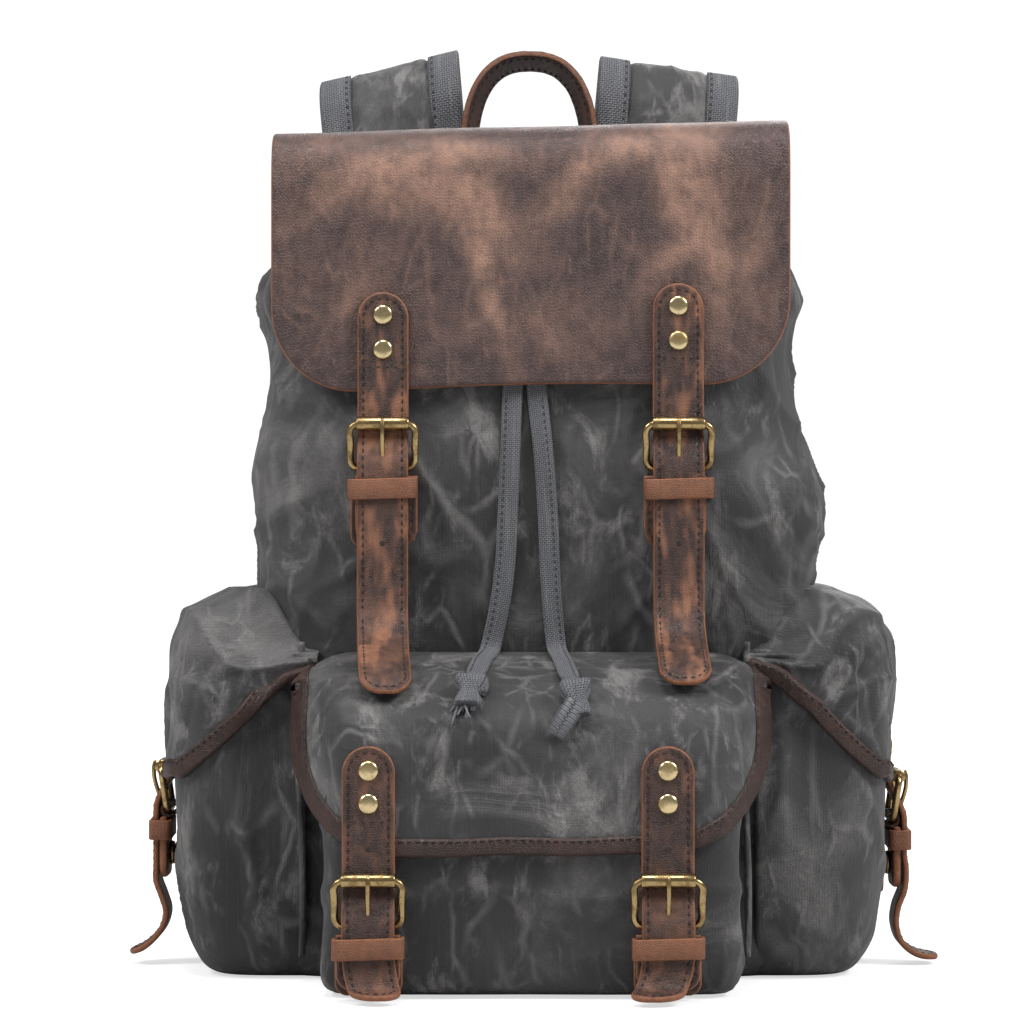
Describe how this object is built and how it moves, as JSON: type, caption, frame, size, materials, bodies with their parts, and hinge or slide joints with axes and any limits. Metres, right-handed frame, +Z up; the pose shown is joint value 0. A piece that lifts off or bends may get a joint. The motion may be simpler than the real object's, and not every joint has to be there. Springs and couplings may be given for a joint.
{
  "type": "travel backpack",
  "caption": "Canvas backpack with a gathered drawstring mouth under a leather flap, buckled straps, a flapped front pocket, side pockets, a handle and shoulder straps.",
  "frame": {"origin": "on the floor under the middle of the whole bag's box", "axes": "+Z up, front of the bag towards -Y, +X to the right seen from the front"},
  "size_m": [0.4122, 0.3318, 0.4736],
  "materials": {
    "canvas": "charcoal waxed canvas with pale rubbed creases",
    "leather": "dark brown oiled leather, rubbed lighter at edges",
    "webbing": "grey cotton webbing and tape",
    "lining": "plain woven lining",
    "hardware": "antique brass",
    "board": "stiff base board"
  },
  "bodies": {
    "root": {"body_shell": "canvas", "body_lining": "lining", "base_board": "board", "laptop_sleeve": "lining", "back_pad": "canvas", "drawstring_hem": "canvas", "drawstring_tail_left": "webbing", "drawstring_tail_right": "webbing", "front_pocket": "canvas", "side_pocket_left": "canvas", "side_pocket_right": "canvas", "webbing_left": "webbing", "webbing_right": "webbing", "main_patch_left": "leather", "pocket_patch_left": "leather", "side_patch_left": "leather", "main_patch_right": "leather", "pocket_patch_right": "leather", "side_patch_right": "leather"},
    "main_flap": {"main_flap": "leather", "main_strap_left": "leather", "main_tab_left": "leather", "main_strap_right": "leather", "main_tab_right": "leather"},
    "front_pocket_flap": {"front_pocket_flap": "canvas", "drawstring_end_left": "webbing", "drawstring_end_right": "webbing", "pocket_strap_left": "leather", "pocket_tab_left": "leather", "pocket_strap_right": "leather", "pocket_tab_right": "leather"},
    "side_flap_left": {"side_flap_left": "canvas", "side_strap_left": "leather", "side_tab_left": "leather"},
    "side_flap_right": {"side_flap_right": "canvas", "side_strap_right": "leather", "side_tab_right": "leather"},
    "main_frame_left": {"main_frame_left": "hardware"},
    "main_prong_left": {"main_prong_left": "hardware"},
    "main_roller_left": {"main_roller_left": "hardware"},
    "pocket_frame_left": {"pocket_frame_left": "hardware"},
    "pocket_prong_left": {"pocket_prong_left": "hardware"},
    "pocket_roller_left": {"pocket_roller_left": "hardware"},
    "side_frame_left": {"side_frame_left": "hardware"},
    "side_prong_left": {"side_prong_left": "hardware"},
    "side_roller_left": {"side_roller_left": "hardware"},
    "main_frame_right": {"main_frame_right": "hardware"},
    "main_prong_right": {"main_prong_right": "hardware"},
    "main_roller_right": {"main_roller_right": "hardware"},
    "pocket_frame_right": {"pocket_frame_right": "hardware"},
    "pocket_prong_right": {"pocket_prong_right": "hardware"},
    "pocket_roller_right": {"pocket_roller_right": "hardware"},
    "side_frame_right": {"side_frame_right": "hardware"},
    "side_prong_right": {"side_prong_right": "hardware"},
    "side_roller_right": {"side_roller_right": "hardware"},
    "handle": {"handle": "leather"},
    "shoulder_strap_left": {"shoulder_strap_left": "canvas"},
    "slider_left": {"slider_left": "hardware"},
    "shoulder_strap_right": {"shoulder_strap_right": "canvas"},
    "slider_right": {"slider_right": "hardware"}
  },
  "joints": [
    {"name": "main_flap_hinge", "type": "hinge", "parent": "root", "child": "main_flap", "pos_m": [-0.00182, 0.09657, 0.4165], "axis": [-1, 0, 0], "range_deg": [0, 80]},
    {"name": "front_pocket_flap_hinge", "type": "hinge", "parent": "root", "child": "front_pocket_flap", "pos_m": [-0.00182, -0.06593, 0.1615], "axis": [-1, 0, 0], "range_deg": [0, 60]},
    {"name": "side_flap_hinge_left", "type": "hinge", "parent": "root", "child": "side_flap_left", "pos_m": [-0.14632, 0.01807, 0.1905], "axis": [0, 1, 0], "range_deg": [0, 110]},
    {"name": "side_flap_hinge_right", "type": "hinge", "parent": "root", "child": "side_flap_right", "pos_m": [0.14268, 0.01807, 0.1905], "axis": [0, -1, 0], "range_deg": [0, 110]},
    {"name": "main_frame_hinge_left", "type": "hinge", "parent": "main_flap", "child": "main_frame_left", "pos_m": [-0.07402, -0.06903, 0.25055], "axis": [1, 0, 0], "range_deg": [0, 8]},
    {"name": "main_prong_hinge_left", "type": "hinge", "parent": "main_frame_left", "child": "main_prong_left", "pos_m": [-0.07402, -0.06903, 0.25055], "axis": [1, 0, 0], "range_deg": [0, 10]},
    {"name": "main_roller_spin_left", "type": "hinge", "parent": "main_frame_left", "child": "main_roller_left", "pos_m": [-0.07402, -0.07233, 0.2723], "axis": [1, 0, 0], "continuous": true},
    {"name": "pocket_frame_hinge_left", "type": "hinge", "parent": "front_pocket_flap", "child": "pocket_frame_left", "pos_m": [-0.07842, -0.14353, 0.03495], "axis": [1, 0, 0], "range_deg": [0, 8]},
    {"name": "pocket_prong_hinge_left", "type": "hinge", "parent": "pocket_frame_left", "child": "pocket_prong_left", "pos_m": [-0.07842, -0.14353, 0.03495], "axis": [1, 0, 0], "range_deg": [0, 10]},
    {"name": "pocket_roller_spin_left", "type": "hinge", "parent": "pocket_frame_left", "child": "pocket_roller_left", "pos_m": [-0.07842, -0.14683, 0.0567], "axis": [1, 0, 0], "continuous": true},
    {"name": "side_frame_hinge_left", "type": "hinge", "parent": "side_flap_left", "child": "side_frame_left", "pos_m": [-0.18542, 0.01807, 0.07865], "axis": [0, -1, 0], "range_deg": [0, 8]},
    {"name": "side_prong_hinge_left", "type": "hinge", "parent": "side_frame_left", "child": "side_prong_left", "pos_m": [-0.18542, 0.01807, 0.07865], "axis": [0, -1, 0], "range_deg": [0, 10]},
    {"name": "side_roller_spin_left", "type": "hinge", "parent": "side_frame_left", "child": "side_roller_left", "pos_m": [-0.18872, 0.01807, 0.1004], "axis": [0, -1, 0], "continuous": true},
    {"name": "main_frame_hinge_right", "type": "hinge", "parent": "main_flap", "child": "main_frame_right", "pos_m": [0.07018, -0.06903, 0.25055], "axis": [1, 0, 0], "range_deg": [0, 8]},
    {"name": "main_prong_hinge_right", "type": "hinge", "parent": "main_frame_right", "child": "main_prong_right", "pos_m": [0.07018, -0.06903, 0.25055], "axis": [1, 0, 0], "range_deg": [0, 10]},
    {"name": "main_roller_spin_right", "type": "hinge", "parent": "main_frame_right", "child": "main_roller_right", "pos_m": [0.07018, -0.07233, 0.2723], "axis": [1, 0, 0], "continuous": true},
    {"name": "pocket_frame_hinge_right", "type": "hinge", "parent": "front_pocket_flap", "child": "pocket_frame_right", "pos_m": [0.06218, -0.14353, 0.03495], "axis": [1, 0, 0], "range_deg": [0, 8]},
    {"name": "pocket_prong_hinge_right", "type": "hinge", "parent": "pocket_frame_right", "child": "pocket_prong_right", "pos_m": [0.06218, -0.14353, 0.03495], "axis": [1, 0, 0], "range_deg": [0, 10]},
    {"name": "pocket_roller_spin_right", "type": "hinge", "parent": "pocket_frame_right", "child": "pocket_roller_right", "pos_m": [0.06218, -0.14683, 0.0567], "axis": [1, 0, 0], "continuous": true},
    {"name": "side_frame_hinge_right", "type": "hinge", "parent": "side_flap_right", "child": "side_frame_right", "pos_m": [0.18178, 0.01807, 0.07355], "axis": [0, 1, 0], "range_deg": [0, 8]},
    {"name": "side_prong_hinge_right", "type": "hinge", "parent": "side_frame_right", "child": "side_prong_right", "pos_m": [0.18178, 0.01807, 0.07355], "axis": [0, 1, 0], "range_deg": [0, 10]},
    {"name": "side_roller_spin_right", "type": "hinge", "parent": "side_frame_right", "child": "side_roller_right", "pos_m": [0.18508, 0.01807, 0.0953], "axis": [0, 1, 0], "continuous": true},
    {"name": "handle_hinge", "type": "hinge", "parent": "root", "child": "handle", "pos_m": [-0.00182, 0.10857, 0.41], "axis": [-1, 0, 0], "range_deg": [-8, 60], "stiffness_Nm_per_rad": 0.05},
    {"name": "shoulder_strap_hinge_left", "type": "hinge", "parent": "root", "child": "shoulder_strap_left", "pos_m": [-0.07332, 0.10407, 0.388], "axis": [1, 0, 0], "range_deg": [0, 15]},
    {"name": "slider_slide_left", "type": "slide", "parent": "root", "child": "slider_left", "axis": [-0.2853, -0.2306, -0.9303], "range_m": [0, 0.055]},
    {"name": "shoulder_strap_hinge_right", "type": "hinge", "parent": "root", "child": "shoulder_strap_right", "pos_m": [0.06968, 0.10407, 0.388], "axis": [1, 0, 0], "range_deg": [0, 15]},
    {"name": "slider_slide_right", "type": "slide", "parent": "root", "child": "slider_right", "axis": [0.2853, -0.2306, -0.9303], "range_m": [0, 0.055]}
  ]
}
